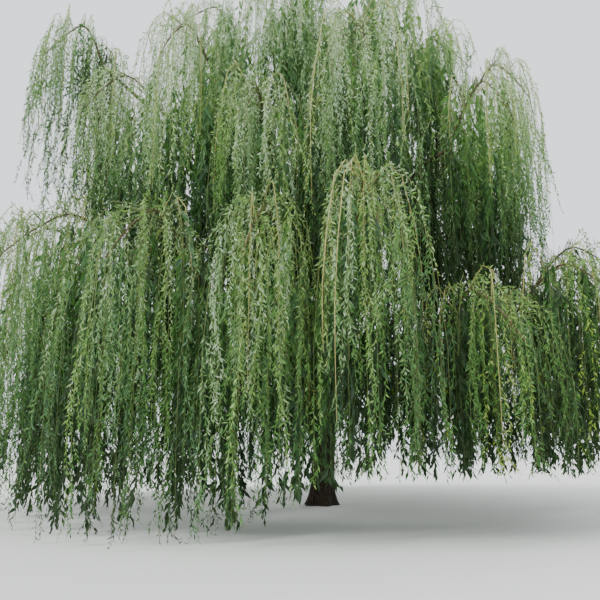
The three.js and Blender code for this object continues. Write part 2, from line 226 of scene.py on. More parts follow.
def inSpace(mass, points, spare, under=0):
    # which of the points lie in the mass's own space, or as far as under below it
    points = np.atleast_2d(points)
    level = mass["storey"]
    inside = np.ones(len(points), bool)
    if level > 0:
        inside &= points[:, 2] > partingAt(level - 1, points) + spare - under
    if level < len(partings) and not isStray(mass):
        inside &= points[:, 2] < partingAt(level, points) - spare
    for mate in mass["mates"]:
        offset = (mate["apex"] - mass["apex"])[:2]
        apart = np.linalg.norm(offset)
        inside &= (points[:, :2] - mass["apex"][:2]) @ offset / apart < apart / 2 - spare
    return inside


def hemUnder(mass, points):
    points = np.atleast_2d(points)
    if isStray(mass):
        return np.full(len(points), mass["row"]["hem"])
    if mass["storey"] == 0:
        return hemAt(np.degrees(np.arctan2(points[:, 1], points[:, 0])))
    return partingAt(mass["storey"] - 1, points)


def stemPoints(mass):
    before, tip = mass["bough"]["points"][-2:]
    heading = (tip - before) / np.linalg.norm(tip - before)
    end = place(mass["bearing"], mass["outer"] - 0.35, mass["apex"][2] - 0.75 * mass["row"]["sag"])
    bend = bendThrough([tip + 0.3 * heading, mass["apex"], end], 4)
    return np.vstack([tip + touchGap * heading, bend])


def hangAt(mass, ring, turn, gap, fan=0):
    # a place under the dome, ring 0 to 1 from its middle; with fan 1 the mass is wider further out
    across = ring * math.sin(turn)
    forth = ring * math.cos(turn)
    apexOut = math.hypot(*mass["apex"][:2])
    depth = mass["outer"] - apexOut if forth > 0 else apexOut - mass["row"]["inner"]
    side = mass["fineSides" if fan else "sides"][1 if across > 0 else 0]
    width = (side - gap) * (1 + fan * forth * depth / apexOut)
    aside = place(mass["bearing"] + 90, across * width)
    return mass["apex"] + place(mass["bearing"], forth * depth) + aside, forth


def twigPoints(root, hang, top, bottom, arch):
    over = root + 0.55 * (hang - root)
    over[2] = max(root[2], top) + arch
    shoulder = np.array([hang[0], hang[1], top - 0.12 * (top - bottom)])
    return [root, over, shoulder, np.array([hang[0], hang[1], bottom])]


def twigPlan(mass, stem, k):
    random = seeded(100 * mass["seed"] + k)
    row = mass["row"]
    ring = 0.9 if k == 0 else ((k + 0.5) / row["twigs"]) ** 0.42
    turn = 0 if k == 0 else math.radians(mass["firstTurn"] + k * goldenAngle)
    hang, forth = hangAt(mass, ring, turn, 3 * clearance)
    top = mass["apex"][2] - row["sag"] * ring ** 2 - 0.15 * random()
    last = spray["length"] * (0.8 + 0.4 * random())
    bottom = hemUnder(mass, hang)[0] + clearance + 0.95 * last + row["ragged"] * random() ** 2
    arch = 0.12 + 0.2 * random()
    share = 0.97 if k == 0 else min(max(0.45 + 0.4 * forth, 0.15), 0.92)
    return twigPoints(alongPath(stem, share), hang, top, bottom, arch)


# Finer growth

fine = dict(
    longShare=0.5,              # share of the sprigs that hang to the hem
    longDrop=(0.95, 1.2),       # how far those and the others hang, as a share of the room under them
    shortDrop=(0.45, 0.85),
    lowShare=0.3,               # share of the long sprigs that reach all the way; the others stop short
    hemLift=(0.3, 1.2),
    rim=0.5,                    # how much likelier both are out at the rim
    highest=15.4,               # no sprig arches above this
    pastEdge=0.35,              # how far a sprig may cross into a neighbour's space
    pointed=(0.1, 0.45),        # how far a sprig's strands pass its own tip
    sprigSteps=7,
    youngShare=0.16,            # share of the sprigs that are long pale shoots, which arch higher
    youngDrop=(1.2, 2.6),
    lobes=0.35,                 # how far the dome's lobes rise and fall
    innerRing=0.2,              # the dome's middle, which holds none of the outer sprigs
    outward=0.4,                # share of the sprigs on the trunk's side that move to the outside
    sideMost=3.4,               # how wide a mass grows where it has no near neighbour
    curtain=0.65,               # sprigs in the shade for each one on the dome
    leftMore=0.5,               # how much denser the skirt is at the left, where nothing hangs behind it
    leftBearing=198,
    tassel=(0.17, 0.36),        # how far a sprig's strands swing out
    strandLeast=(0.6, 1.2),     # the shortest and the longest strands
    strandMost=2.8,
    strayMost=0.65,             # the stray mass's longest, as a share of that
    strandSteps=3,
    strandShare=(0.35, 1.15),   # a strand's length as a share of what hangs below its root
    strandArch=(0.1, 0.6),      # how far strands near a sprig's top rise before they fall
    rootsUp=1.4,                # how much strands crowd towards a sprig's top in the high storeys
    drawnIn=0.7,                # how much a tassel narrows towards its tip
    sway=0.2,
    overhang=(0.1, 2.6, 1.8, 1.2),  # how far each storey's strands hang past the parting under it
    inside=12,                  # sprigs that hang from each bough, between the mass and the trunk
    insideShare=(0.3, 0.98),    # the stretch of the bough that holds them
    insideDrop=(1.6, 3.6),
    insideFloor=(2.0, 3.0, 4.4, 7.0),  # how low they and their strands come, storey by storey
)
# radii of the sprigs at their roots, and of strands and stems from root to tip
twigRadii = dict(own=0.014, young=0.013, sprig=0.008, inside=0.01, strand=(0.0045, 0.0015),
                 stem=(0.042, 0.012))
# the dark window beside the front mass, which looks into the crown
opening = dict(start=287, end=304, top=8.6)
# leaves are larger than life, so that each stands for two or three, and broader still in the shade
# taper is how much shorter they are at a strand's tip
outerLeaf = dict(spacing=0.037, length=(0.075, 0.155), width=0.26, angle=(12, 75), taper=0.35)
innerLeaf = dict(spacing=0.07, length=(0.2, 0.34), width=0.32, angle=(8, 50), taper=0.5)
strayInnerLeaf = dict(spacing=0.055, length=(0.12, 0.2), width=0.3, angle=(10, 60), taper=0.35)
crestLeaf = dict(spacing=0.05, length=(0.08, 0.16), width=0.26, angle=(18, 75), taper=0.35)


def isStray(mass):
    return "hem" in mass["row"]


def corner(turn):
    # stretches a disc towards a rounded square, so that neighbours close up at their corners
    return (np.cos(turn) ** 4 + np.sin(turn) ** 4) ** -0.25


def domePlace(mass, rng, j, firstTurn):
    # where sprig number j hangs: over the dome, denser towards its edge
    row = mass["row"]
    ring = fine["innerRing"] + (1 - fine["innerRing"]) * ((j + 0.5) / row["sprigs"]) ** 0.6
    turn = math.radians(firstTurn + j * goldenAngle) + rng.uniform(-0.2, 0.2)
    if math.cos(turn) < -0.3 and rng.uniform(0, 1) < fine["outward"]:
        turn = math.pi - turn
    return ring * corner(turn) * rng.uniform(0.88, 1.12), turn


def curtainPlace(place, rng):
    # a place on the curtain across the mass, place 0 to 1 from side to side
    across = 2.3 * place - 1.15
    forth = rng.uniform(-0.7, 0.35)
    return math.hypot(across, forth), math.atan2(across, forth)


def overhangOf(mass):
    return 0 if isStray(mass) else fine["overhang"][mass["storey"]]


def reachOf(mass):
    # how far out the fine sprigs hang, a little further at the front
    return mass["outer"] - 0.1 - 0.1 * math.sin(math.radians(mass["bearing"]))


def inOpening(hang):
    return opening["start"] < math.degrees(math.atan2(hang[1], hang[0])) % 360 < opening["end"]


def sprigBottom(mass, hang, top, forth, shaded, rng):
    # how low a sprig hangs: to the hem or part of the way, and clear of the dark window
    floor = hemUnder(mass, hang)[0] - 0.6 * overhangOf(mass)
    rim = fine["rim"] * max(forth, 0)
    long = shaded or rng.uniform(0, 1) < fine["longShare"] + rim
    drop = rng.uniform(*fine["longDrop" if long else "shortDrop"])
    low = rng.uniform(0, 1) <= fine["lowShare"] + rim
    lift = rng.uniform(0, 0.1) if low else rng.uniform(*fine["hemLift"])
    bottom = max(top - (top - floor) * drop, floor + lift)
    if inOpening(hang) and mass["storey"] == 2:
        bottom = max(bottom, opening["top"] + rng.uniform(0, 1))
    return bottom


def growSprigs(mass, stem, rng):
    # the mass's own twigs, then finer sprigs over its dome and in its shade
    row = mass["row"]
    sprigs = []
    for k in range(row["twigs"]):
        points = twigPlan(mass, stem, k)
        if points[2][2] - points[3][2] > 0.3 and inSpace(mass, np.array(points), clearance).all():
            path = bendThrough(points, fine["sprigSteps"])
            sprigs.append(dict(path=path, radius=twigRadii["own"], shaded=False, young=False))
    firstTurn = rng.uniform(0, 360)
    curtain = round(fine["curtain"] * row["sprigs"])
    lobe = rng.uniform(0, 6.28)
    for j in range(row["sprigs"] + curtain):
        shaded = j >= row["sprigs"]
        if shaded:
            ring, turn = curtainPlace((j - row["sprigs"] + rng.uniform(0.1, 0.9)) / curtain, rng)
        else:
            ring, turn = domePlace(mass, rng, j, firstTurn)
        hang, forth = hangAt(mass, ring, turn, 0, 1)
        hang[:2] *= min(1, reachOf(mass) / math.hypot(*hang[:2]))
        top = mass["apex"][2] - row["sag"] * min(ring, 1.15) ** 2 - rng.uniform(-0.1, 0.4)
        top += fine["lobes"] * math.sin(3 * turn + lobe) * ring * (not shaded)
        bottom = sprigBottom(mass, hang, top, forth, shaded, rng)
        if top - bottom < 0.4 or (inOpening(hang) and mass["storey"] == 1):
            continue
        young = rng.uniform(0, 1) < fine["youngShare"] and not shaded
        if young:
            bottom = max(bottom, top - rng.uniform(*fine["youngDrop"]))
        arch = rng.uniform(0.3, 0.7) if young else rng.uniform(0.05, 0.3)
        share = min(max(0.45 + 0.4 * forth + rng.uniform(-0.12, 0.12), 0.12), 0.98)
        points = twigPoints(alongPath(stem, share), hang, min(top, fine["highest"] - 0.15), bottom, arch)
        points[1][2] = min(points[1][2], fine["highest"])
        if inSpace(mass, np.array(points), -fine["pastEdge"], overhangOf(mass)).all():
            path = bendThrough(points, fine["sprigSteps"])
            radius = twigRadii["young" if young else "sprig"]
            sprigs.append(dict(path=path, radius=radius, shaded=shaded, young=young))
    return sprigs


def growInside(mass, rng):
    # sprigs straight from the bough, which fill the crown between its masses and the trunk
    sprigs = []
    floor = fine["insideFloor"][mass["storey"]]
    low, high = fine["insideShare"]
    for j in range(0 if isStray(mass) else fine["inside"]):
        share = low + (high - low) * (j + rng.uniform(0, 1)) / fine["inside"]
        root = alongPath(mass["bough"]["fine"], share)
        hang = root + place(mass["bearing"] + 90, rng.uniform(-1, 1))
        hang = hang + place(mass["bearing"], rng.uniform(-0.3, 0.4))
        top = root[2] + rng.uniform(0, 0.3)
        bottom = max(top - rng.uniform(*fine["insideDrop"]), floor + rng.uniform(0, 0.5))
        if top - bottom > 0.5:
            points = twigPoints(root, hang, top, bottom, rng.uniform(0.05, 0.3))
            path = bendThrough(points, fine["sprigSteps"])
            sprigs.append(dict(path=path, radius=twigRadii["inside"], shaded=True, young=False, floor=floor))
    return sprigs


def growTassel(mass, sprig, count, rng):
    # strands all round a sprig, wide above and drawn in to its tip
    path = sprig["path"]
    high = mass["storey"] > 1 or isStray(mass)
    share = ((np.arange(count) + rng.uniform(0, 1, count)) / count) ** (fine["rootsUp"] if high else 1)
    share = 0.1 + 0.88 * share
    roots = alongPath(path, share)
    outward = math.radians(mass["bearing"])
    headings = rng.uniform(0, 2 * math.pi, count)
    headings = headings + 0.4 * np.sin(outward - headings)  # a little more to the outside
    wide = rng.uniform(*fine["tassel"])
    off = wide * np.sqrt(rng.uniform(0.02, 1, count)) * (1 - fine["drawnIn"] * share ** 2)
    below = roots[:, 2] - path[-1, 2]
    length = (below + 0.45) * rng.uniform(*fine["strandShare"], count) * (1 - 0.3 * off / wide)
    most = fine["strandMost"] * (fine["strayMost"] if isStray(mass) else 1)
    length = np.clip(length, rng.uniform(*fine["strandLeast"], count), most)
    floor = hemUnder(mass, roots) - overhangOf(mass) * rng.uniform(0.2, 1, count)
    floor = np.minimum(floor, sprig.get("floor", math.inf))
    floor = np.maximum(floor, path[-1, 2] - rng.uniform(*fine["pointed"], count))
    length = np.minimum(length, roots[:, 2] - floor)
    arch = rng.uniform(*fine["strandArch"], count) * (share < 0.45)
    t = np.linspace(0, 1, fine["strandSteps"] + 1)[None, :, None] ** 1.25
    swing = off[:, None, None] * (1 - (1 - t) ** 2.5)
    drop = -length[:, None, None] * t ** 1.15 + arch[:, None, None] * 4 * t * (1 - t) ** 3
    heading = np.stack([np.cos(headings), np.sin(headings), 0 * headings], 1)[:, None, :]
    paths = roots[:, None, :] + swing * heading + drop * np.array([0, 0, 1.0])
    wave = rng.uniform(-fine["sway"], fine["sway"], (count, 1, 2))
    wave = wave * np.sin(5 * t + rng.uniform(0, 6, (count, 1, 1)))
    paths[:, :, :2] += wave * t
    return paths[length > 0.3]


def growMass(mass):
    # the stem, sprigs and strands of one mass
    rng = np.random.RandomState(mass["seed"])
    stem = stemPoints(mass)
    sprigs = growSprigs(mass, stem, rng) + growInside(mass, rng)
    lengths = np.array([np.linalg.norm(np.diff(s["path"], axis=0), axis=1).sum() for s in sprigs])
    more = fine["leftMore"] * math.exp(-((mass["bearing"] - fine["leftBearing"]) / 18) ** 2)
    strands = mass["row"]["strands"] * (1 + more * (mass["storey"] == 0))
    counts = np.maximum(4, np.round(strands * lengths / lengths.sum())).astype(int)
    tassels = [growTassel(mass, sprig, count, rng) for sprig, count in zip(sprigs, counts)]
    owners = np.repeat(np.arange(len(sprigs)), [len(t) for t in tassels])
    return dict(mass=mass, stem=bendThrough(stem, 16), sprigs=sprigs, strands=np.concatenate(tassels),
                owners=owners, shaded=np.array([s["shaded"] for s in sprigs]))


def framesAlong(paths):
    # for each point of each path, its heading and two directions square to it
    heading = np.gradient(paths, axis=1)
    heading /= np.linalg.norm(heading, axis=2, keepdims=True) + 1e-9
    side = np.zeros_like(paths)
    ref = np.tile([1.0, 0.0, 0.0], (len(paths), 1))
    ref[np.abs(heading[:, 0, 0]) > 0.8] = [0, 1, 0]
    for k in range(paths.shape[1]):
        h = heading[:, k]
        ref = ref - (ref * h).sum(1, keepdims=True) * h
        ref /= np.linalg.norm(ref, axis=1, keepdims=True) + 1e-9
        side[:, k] = ref
    return heading, side, np.cross(heading, side)


def tubes(paths, radii, sides):
    # many tapering tubes with equal step counts; returns points and triangles
    n, k, _ = paths.shape
    _, side, other = framesAlong(paths)
    turn = np.arange(sides) * 2 * math.pi / sides
    ring = (side[:, :, None, :] * np.cos(turn)[:, None] + other[:, :, None, :] * np.sin(turn)[:, None])
    points = paths[:, :, None, :] + radii[:, :, None, None] * ring
    index = np.arange(n * k * sides).reshape(n, k, sides)
    a, b = index[:, :-1], index[:, 1:]
    c, d = np.roll(a, -1, axis=2), np.roll(b, -1, axis=2)
    faces = np.concatenate([np.stack([a, c, b], -1).reshape(-1, 3), np.stack([c, d, b], -1).reshape(-1, 3)])
    return points.reshape(-1, 3), faces


def tubeOwners(values, steps, sides):
    # one value for each tube, repeated for its triangles in the order of tubes()
    return np.tile(np.repeat(values, (steps - 1) * sides), 2)


def leavesOn(paths, leaf, rng, start=0.04):
    # narrow leaves all along each path: a root, two edges and a tip, folded on the midrib
    steps = np.linalg.norm(np.diff(paths, axis=1), axis=2)
    marks = np.concatenate([np.zeros((len(paths), 1)), np.cumsum(steps, axis=1)], axis=1)
    counts = np.maximum(3, (marks[:, -1] * (1 - start) / leaf["spacing"])).astype(int)
    owner = np.repeat(np.arange(len(paths)), counts)
    rank = np.arange(len(owner)) - np.repeat(np.cumsum(counts) - counts, counts)
    at = (rank + rng.uniform(0.1, 0.9, len(owner))) / counts[owner]
    at = start + (1 - start) * at
    dist = at * marks[owner, -1]
    seg = (dist[:, None] > marks[owner, 1:-1]).sum(1)
    w = (dist - marks[owner, seg]) / (steps[owner, seg] + 1e-9)
    root = paths[owner, seg] * (1 - w[:, None]) + paths[owner, seg + 1] * w[:, None]
    heading, side, other = framesAlong(paths)
    h, s, o = heading[owner, seg], side[owner, seg], other[owner, seg]
    turn = rng.uniform(0, 2 * math.pi, len(owner))[:, None]
    radial = s * np.cos(turn) + o * np.sin(turn)
    angle = np.radians(rng.uniform(*leaf["angle"], len(owner)))[:, None]
    direction = h * np.cos(angle) + radial * np.sin(angle) + np.array([0, 0, -0.18])
    direction /= np.linalg.norm(direction, axis=1, keepdims=True)
    roll = rng.uniform(0, math.pi, len(owner))[:, None]
    across = np.cross(direction, radial)
    across /= np.linalg.norm(across, axis=1, keepdims=True) + 1e-9
    flat = np.cross(across, direction)
    wide = across * np.cos(roll) + flat * np.sin(roll)
    up = np.cross(wide, direction)
    length = rng.uniform(*leaf["length"], len(owner))[:, None] * (1 - leaf["taper"] * at[:, None] ** 2)
    half = 0.5 * leaf["width"] * length
    middle = root + 0.42 * length * direction
    fold = 0.25 * half * up
    points = np.stack([root - fold, middle + half * wide + fold, root + length * direction - fold,
                       middle - half * wide + fold], axis=1)
    points[:, :, 2] = np.maximum(points[:, :, 2], 0.01)
    base = 4 * np.arange(len(owner))[:, None]
    faces = np.concatenate([base + [0, 1, 2], base + [0, 2, 3]], axis=1).reshape(-1, 3)
    return points.reshape(-1, 3), faces, owner


def meshPiece(name, points, faces, materials, index=None, shadeSmooth=False):
    mesh = bpy.data.meshes.new(name)
    mesh.vertices.add(len(points))
    mesh.vertices.foreach_set("co", np.asarray(points, np.float32).ravel())
    corners = faces.shape[1]
    mesh.loops.add(faces.size)
    mesh.loops.foreach_set("vertex_index", np.asarray(faces, np.int32).ravel())
    mesh.polygons.add(len(faces))
    mesh.polygons.foreach_set("loop_start", np.arange(len(faces), dtype=np.int32) * corners)
    for material in materials:
        mesh.materials.append(material)
    if index is not None:
        mesh.polygons.foreach_set("material_index", np.asarray(index, np.int32))
    mesh.polygons.foreach_set("use_smooth", np.full(len(faces), shadeSmooth))
    mesh.update(calc_edges=True)
    piece = bpy.data.objects.new(name, mesh)
    bpy.context.scene.collection.objects.link(piece)
    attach(piece, "root")
    return piece


# Materials

def linear(hexText):
    values = [int(hexText[i:i + 2], 16) / 255 for i in (1, 3, 5)]
    return tuple(v / 12.92 if v <= 0.04045 else ((v + 0.055) / 1.055) ** 2.4 for v in values) + (1.0,)


def addNode(tree, kind, settings=None, links=None):
    node = tree.nodes.new(kind)
    for key, value in (settings or {}).items():
        if hasattr(node, key):
            setattr(node, key, value)
        else:
            node.inputs[key].default_value = value
    for key, source in (links or {}).items():
        tree.links.new(source, node.inputs[key])
    return node


def blankMaterial(name):
    material = bpy.data.materials.new(name)
    material.use_nodes = True
    material.node_tree.nodes.clear()
    return material, material.node_tree


# willow leaf: a waxy cuticle over thin green tissue, so a soft sheen and light that comes through
# each row runs from the leaves in the shade to those in full light; the second is purer green
leafTints = dict(
    shade="#2E4429", deepCool="#39583C", deep="#486A3E", midCool="#567C55", mid="#668C5A",
    warm="#7E9A69", light="#99B28B", pale="#B1C4A8", silver="#C4D1C0",
    greenShade="#2A4322", greenDeep="#375A2F", greenLow="#466F37", green="#568144", greenMid="#69924C",
    greenWarm="#82A25A", greenLight="#9DB87A", greenPale="#B1C49A", greenSilver="#C2D1B2",
    fresh="#A3B568", lit="#9CB646",
)
leafSkin = dict(roughness=0.48, specular=0.35, through=0.36)


def leafMaterial(name, hexText):
    material, tree = blankMaterial("willowLeaf_" + name)
    colour = linear(hexText)
    glow = tuple(min(1.0, c * f) for c, f in zip(colour[:3], (1.05, 1.3, 0.6))) + (1.0,)
    blade = addNode(tree, "ShaderNodeBsdfPrincipled", {
        "Base Color": colour, "Roughness": leafSkin["roughness"],
        "Specular IOR Level": leafSkin["specular"]})
    inner = addNode(tree, "ShaderNodeBsdfTranslucent", {"Color": glow})
    mixed = addNode(tree, "ShaderNodeMixShader", {"Fac": leafSkin["through"]})
    tree.links.new(blade.outputs[0], mixed.inputs[1])
    tree.links.new(inner.outputs[0], mixed.inputs[2])
    addNode(tree, "ShaderNodeOutputMaterial", links={"Surface": mixed.outputs[0]})
    return material


# young willow shoots: smooth olive-yellow rind with a slight sheen
rindTints = dict(young="#A39A5E", green="#5E6B38", brown="#57492F")


def rindMaterial(name, hexText):
    material, tree = blankMaterial("willowRind_" + name)
    rind = addNode(tree, "ShaderNodeBsdfPrincipled", {
        "Base Color": linear(hexText), "Roughness": 0.55, "Specular IOR Level": 0.3})
    addNode(tree, "ShaderNodeOutputMaterial", links={"Surface": rind.outputs[0]})
    return material


# old willow bark: grey-brown corky ridges that cross in long diamonds, darker in the furrows
bark = dict(ridge="#453C31", furrow="#17120D", algae="#3A3D29", ridgeWidth=0.035, relief=0.02)


def barkMaterial():
    material, tree = blankMaterial("willowBark")
    where = addNode(tree, "ShaderNodeTexCoord")
    stretched = addNode(tree, "ShaderNodeMapping", {"Scale": (1, 1, 0.16)},
                        {"Vector": where.outputs["Object"]})
    ridges = addNode(tree, "ShaderNodeTexNoise", {
        "Scale": 1 / bark["ridgeWidth"], "Detail": 6.0, "Roughness": 0.62, "Distortion": 0.6},
        {"Vector": stretched.outputs[0]})
    patches = addNode(tree, "ShaderNodeTexNoise", {"Scale": 2.2, "Detail": 3.0},
                      {"Vector": where.outputs["Object"]})
    tone = addNode(tree, "ShaderNodeValToRGB", links={"Fac": ridges.outputs["Fac"]})
    tone.color_ramp.elements[0].position = 0.36
    tone.color_ramp.elements[0].color = linear(bark["furrow"])
    tone.color_ramp.elements[1].position = 0.62
    tone.color_ramp.elements[1].color = linear(bark["ridge"])
    spots = addNode(tree, "ShaderNodeValToRGB", links={"Fac": patches.outputs["Fac"]})
    spots.color_ramp.elements[0].position = 0.52
    spots.color_ramp.elements[1].position = 0.7
    spots.color_ramp.elements[1].color = (0.6, 0.6, 0.6, 1)
    green = addNode(tree, "ShaderNodeMix", {"data_type": "RGBA"})
    tree.links.new(spots.outputs[0], green.inputs[0])
    tree.links.new(tone.outputs[0], green.inputs[6])
    green.inputs[7].default_value = linear(bark["algae"])
    bump = addNode(tree, "ShaderNodeBump", {"Strength": 0.8, "Distance": bark["relief"]},
                   {"Height": ridges.outputs["Fac"]})
    body = addNode(tree, "ShaderNodeBsdfPrincipled", {"Roughness": 0.93, "Specular IOR Level": 0.2},
                   {"Base Color": green.outputs[2], "Normal": bump.outputs[0]})
    addNode(tree, "ShaderNodeOutputMaterial", links={"Surface": body.outputs[0]})
    return material


# Trunk and boughs

def furrows(turn, along, girth, shift):
    # long ridges that lean into one another, 0 in a furrow and 1 on a ridge
    count = max(3, round(girth / 0.09))
    lean = 0.8 * np.sin(3.1 * along + shift) + 0.5 * np.sin(7.3 * along + 2 * turn + 2 * shift)
    first = np.abs(np.sin(0.5 * count * turn + lean))
    second = np.abs(np.sin(0.5 * (count + 3) * turn - 1.3 * lean + 4 * shift))
    return np.minimum(first, 0.35 + second) ** 0.6


def ringFaces(rings, sides):
    # quads between neighbouring rings of points
    index = np.arange(rings * sides).reshape(rings, sides)
    a, b = index[:-1], index[1:]
    return np.stack([a, np.roll(a, -1, 1), np.roll(b, -1, 1), b], -1).reshape(-1, 4)


# relief of the bark: a trunk's in metres, a limb's as a share of its radius
trunkSkin = dict(rings=130, sides=108, furrow=0.022, swell=(0.012, 0.008), roundFrom=0.97)
limbSkin = dict(limbSides=28, boughSides=14, furrow=0.055, knots=0.04, collar=0.35)


def trunkMesh():
    rings, sides = trunkSkin["rings"], trunkSkin["sides"]
    t = np.linspace(0, 1, rings)
    height = (trunk["height"] * t ** 1.25)[:, None]
    turn = (np.arange(sides) * 2 * math.pi / sides)[None, :]
    radius = trunk["radius"] + (trunk["topRadius"] - trunk["radius"]) * height / trunk["height"]
    flare = trunk["flareRadius"] * np.exp(-height / trunk["flareHeight"])
    radius = radius + flare * (1 + 0.6 * np.cos(trunk["flareLobes"] * turn))
    radius = radius - trunkSkin["furrow"] * (1 - furrows(turn, height, 2.0, 0.7))
    broad, narrow = trunkSkin["swell"]
    radius = radius + broad * np.sin(3 * turn + 2.1 * height) + narrow * np.sin(5 * turn - 3.7 * height)
    # rounds over at the top, inside the limbs
    roundFrom = trunkSkin["roundFrom"]
    rounded = np.sqrt(np.clip(1 - ((t - roundFrom) / (1 - roundFrom)) ** 2, 0.02, 1))
    radius = radius * np.where(t > roundFrom, rounded, 1)[:, None]
    x = trunk["lean"] * height + radius * np.cos(turn)
    points = np.stack([x, radius * np.sin(turn), height + 0 * turn], -1).reshape(-1, 3)
    return points, ringFaces(rings, sides)


def limbMesh(limb, sides, shift):
    path = limb["fine"][None]
    count = path.shape[1]
    t = np.linspace(0, 1, count)
    radius = limb["radius"] + (limb["tipRadius"] - limb["radius"]) * t ** 0.8
    collar = 1 + limbSkin["collar"] * np.exp(-t / 0.05)
    _, side, other = framesAlong(path)
    turn = np.arange(sides) * 2 * math.pi / sides
    along = t[:, None] * np.linalg.norm(np.diff(path[0], axis=0), axis=1).sum()
    relief = 1 - limbSkin["furrow"] * (1 - furrows(turn[None], along, 6.28 * limb["radius"], shift))
    knots = 1 + limbSkin["knots"] * np.sin(2 * turn[None] + 5 * along + shift) * np.sin(3.7 * along)
    full = (radius * collar)[:, None] * relief * knots
    ring = side[0, :, None] * np.cos(turn)[:, None] + other[0, :, None] * np.sin(turn)[:, None]
    points = (path[0, :, None] + full[:, :, None] * ring).reshape(-1, 3)
    return points, ringFaces(count, sides)


def joined(parts):
    points, faces, start = [], [], 0
    for p, f in parts:
        points.append(p)
        faces.append(f + start)
        start += len(p)
    return np.concatenate(points), np.concatenate(faces)


def woodPiece(name, mesh, nodes):
    piece = meshPiece(name, *mesh, [oldBark], shadeSmooth=True)
    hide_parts(*nodes)
    return len(piece.data.polygons)


grownLimbs = growLimbs()
masses, boughs, seed = [], [], 40
for storey, row in enumerate(storeys):
    for i, (bearing, lift) in enumerate(row["crests"]):
        number = f"{i + 1:02d}"
        bough = grownLimbs[-1 if storey == 3 else i] if storey > 1 else None
        if "tipOut" in row:
            bough = growBough(f"bough_{row['name']}_{number}", grownLimbs, row, bearing, lift, seed)
            boughs.append(bough)
        name = f"foliage_{row['name']}_{number}"
        masses.append(massPlan(name, row, storey, bearing, lift, bough, seed + 3))
        seed += 7
stray = growBough("bough_stray", grownLimbs, strayBough, strayBough["bearing"], 0, seed)
boughs.append(stray)
masses.append(massPlan("foliage_stray", strayBough, 1, strayBough["bearing"], 0, stray, seed + 3))
measureSides(masses)

oldBark = barkMaterial()
limbMeshes = [limbMesh(limb, limbSkin["limbSides"], i) for i, limb in enumerate(grownLimbs)]
boughMeshes = [limbMesh(limb, limbSkin["boughSides"], i) for i, limb in enumerate(boughs)]
woodCount = woodPiece("trunk_bark", trunkMesh(), ["trunk"])
woodCount += woodPiece("limbs_bark", joined(limbMeshes), [limb["name"] for limb in grownLimbs])
woodCount += woodPiece("boughs_bark", joined(boughMeshes), [limb["name"] for limb in boughs])
print("trunk, limbs and boughs:", woodCount, "quads")

# Foliage

leafNames = list(leafTints)
leafMaterials = [leafMaterial(name, leafTints[name]) for name in leafNames]
rindNames = list(rindTints)
rindMaterials = [rindMaterial(name, rindTints[name]) for name in rindNames]

rowLength = 9  # tints in each of the two rows
crown = dict(height=15.5, radius=9)
# a strand's score runs from 0, the darkest tint, to 1, the palest
tinting = dict(
    base=0.24,
    height=0.57,                # painted light: paler towards the top of the tree
    crest=0.4,                  # painted light too: paler towards the top of each mass
    # painted light: paler at the outside of each mass, darker further in
    outside=0.1,
    right=0.52,                 # painted shade: darker low down at the right
    left=0.34,                  # painted light: paler high up at the left
    lowLeft=0.1,
    front=0.11,                 # painted light: paler in the middle of the front: x there, half the width, and the last y
    frontAt=(-0.8, 2.5, -4),
    besideOpening=0.2,          # painted shade: darker where a mass hangs beside the dark window
    besideAt=(1.6, 1.1, -2),
    besideHeights=(3.5, 10),
    shade=0.26,                 # darker in a mass's own shade
    strayShade=0.42,            # the stray mass is darker than its height would make it
    bunch=0.16,                 # how far one sprig, strand or leaf differs from the next
    strand=0.04,
    leaf=0.08,
    freshShare=0.6,             # share of the young sprigs with their own tint, and how high they may be
    freshBelow=8,
    litShare=0.14,              # share of the low sprigs that the light shines through: x and height
    litAt=(1.5, 5.5),
    litBelow=2.2,
    ownTint=0.55,               # share of the leaves on both that have the sprig's own tint
)


def hump(value, middle, width):
    return np.exp(-((value - middle) / width) ** 2)


def strandTints(grown, rng):
    # a tint for each strand, with painted light and shade: paler at the top and the outside, cooler and
    # darker low and inside
    mass, owners = grown["mass"], grown["owners"]
    middle = grown["strands"][:, 1]
    x, y, z = middle.T
    floor = hemUnder(mass, middle)
    inMass = (z - floor) / (mass["apex"][2] - floor + 1e-6)
    apexOut = math.hypot(*mass["apex"][:2])
    outside = np.clip((np.hypot(x, y) - apexOut) / (mass["outer"] - apexOut), -1, 1)
    bunch = rng.uniform(-1, 1, owners.max() + 1)[owners]
    up = z / crown["height"]
    right = np.maximum(x, 0) / crown["radius"]
    left = np.maximum(-x, 0) / crown["radius"]
    score = tinting["base"] + tinting["height"] * up + tinting["crest"] * (inMass - 0.5)
    score += tinting["outside"] * outside + tinting["bunch"] * bunch
    score -= tinting["shade"] * grown["shaded"][owners]
    score -= tinting["right"] * right * (1 - up)
    score += tinting["left"] * left * up ** 2
    score -= tinting["lowLeft"] * np.maximum(-x - 3, 0) / 6 * (1 - up)
    across, wide, last = tinting["frontAt"]
    score += tinting["front"] * hump(x, across, wide) * (y < last)
    across, wide, last = tinting["besideAt"]
    low, high = tinting["besideHeights"]
    score -= tinting["besideOpening"] * hump(x, across, wide) * ((y < last) & (z > low) & (z < high))
    if isStray(mass):
        score -= tinting["strayShade"]
    return score + rng.normal(0, tinting["strand"], len(x))


def specialTints(grown, rng):
    # young sprigs are yellower, and the low ones at the front right have the light behind them
    x, y, z = grown["strands"][:, -1].T
    chance = rng.uniform(0, 1, len(grown["sprigs"]))[grown["owners"]]
    young = np.array([s["young"] for s in grown["sprigs"]])[grown["owners"]]
    first, last = tinting["litAt"]
    lit = (x > first) & (x < last) & (y < 0) & (z < tinting["litBelow"])
    kinds = np.full(len(x), -1)
    fresh = young & (chance < tinting["freshShare"]) & (z < tinting["freshBelow"])
    kinds[fresh] = leafNames.index("fresh")
    kinds[lit & (chance < tinting["litShare"])] = leafNames.index("lit")
    return kinds


def tintIndex(score, greener):
    steps = np.clip((score * rowLength).astype(int), 0, rowLength - 1)
    return steps + rowLength * greener


